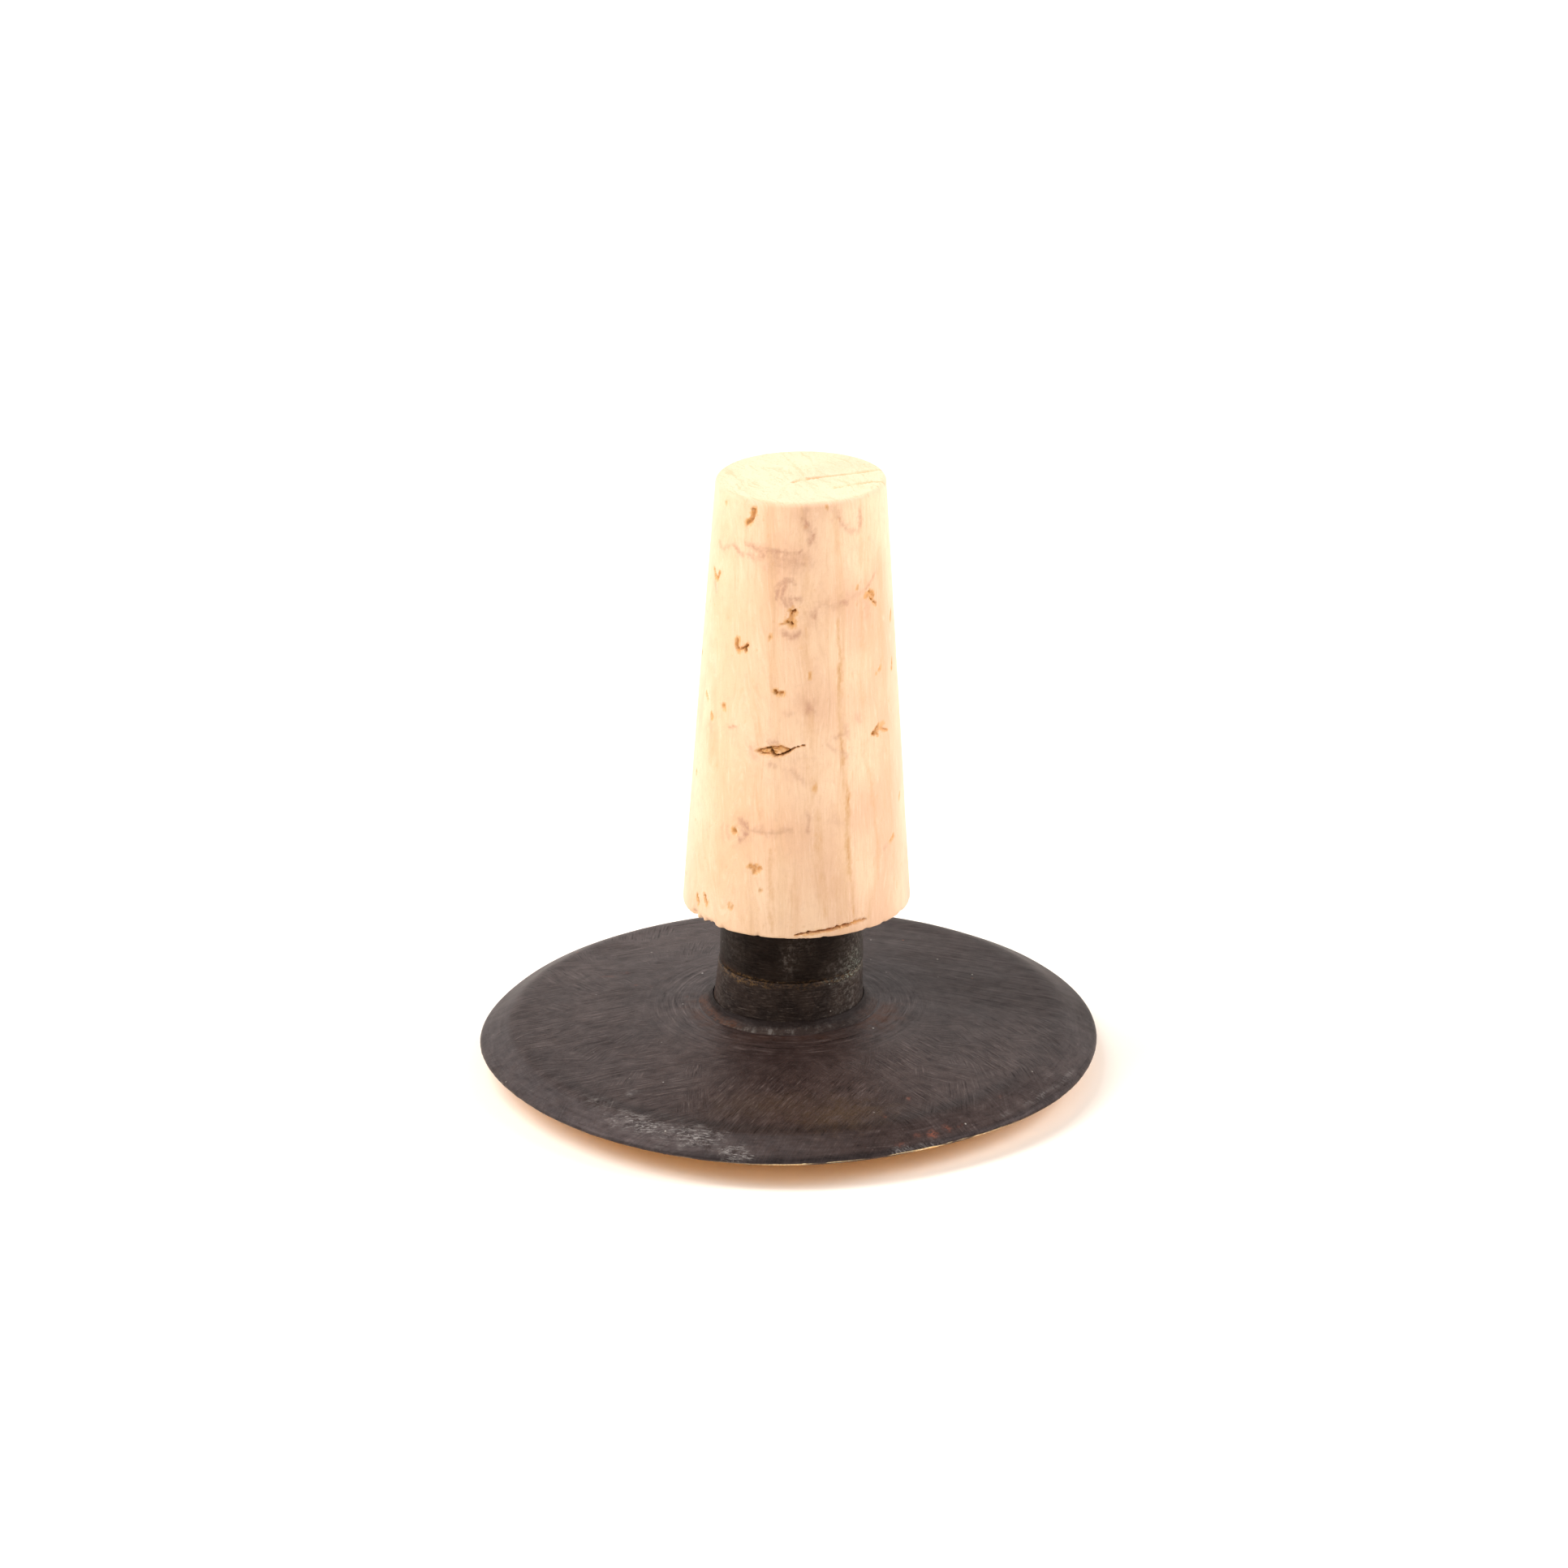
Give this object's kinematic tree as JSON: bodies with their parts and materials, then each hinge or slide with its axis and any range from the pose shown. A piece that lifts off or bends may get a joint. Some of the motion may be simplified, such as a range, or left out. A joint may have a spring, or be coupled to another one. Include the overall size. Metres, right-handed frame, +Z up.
{
  "type": "cork bottle stopper",
  "caption": "Tapered natural cork stopper on a short two-part metal neck, with a flat lens-shaped dark brass disc as its knob and stand.",
  "frame": {"origin": "centre of the small flat land under the knob disc, which it stands on", "axes": "+Z up, square to the disc, from the disc towards the narrow end of the cork; +X is the way the cork leans by about one degree; +Y to the back"},
  "size_m": [0.065, 0.065, 0.0646],
  "materials": {
    "knob_patina": "satin",
    "boss_patina": "satin",
    "braze": "matte",
    "ferrule_patina": "satin",
    "bright_brass": "satin",
    "natural_cork": "matte"
  },
  "bodies": {
    "knob": {"knob_disc": "knob_patina", "neck_boss": "boss_patina", "braze_ring": "braze"},
    "ferrule": {"neck_ferrule": "ferrule_patina"},
    "stopper": {"hanger_bolt": "bright_brass", "cork": "natural_cork"}
  },
  "joints": [
    {"name": "unscrew_lift", "type": "slide", "parent": "knob", "child": "ferrule", "axis": [0, 0, 1], "range_m": [0, 0.006]},
    {"name": "unscrew_turn", "type": "hinge", "parent": "ferrule", "child": "stopper", "pos_m": [0.0003, 0, 0.0116], "axis": [0, 0, 1], "range_deg": [0, 2160]}
  ],
  "couplings": [
    {"joint": "unscrew_turn", "follows": "unscrew_lift", "rad_per_m": 6283.2}
  ]
}
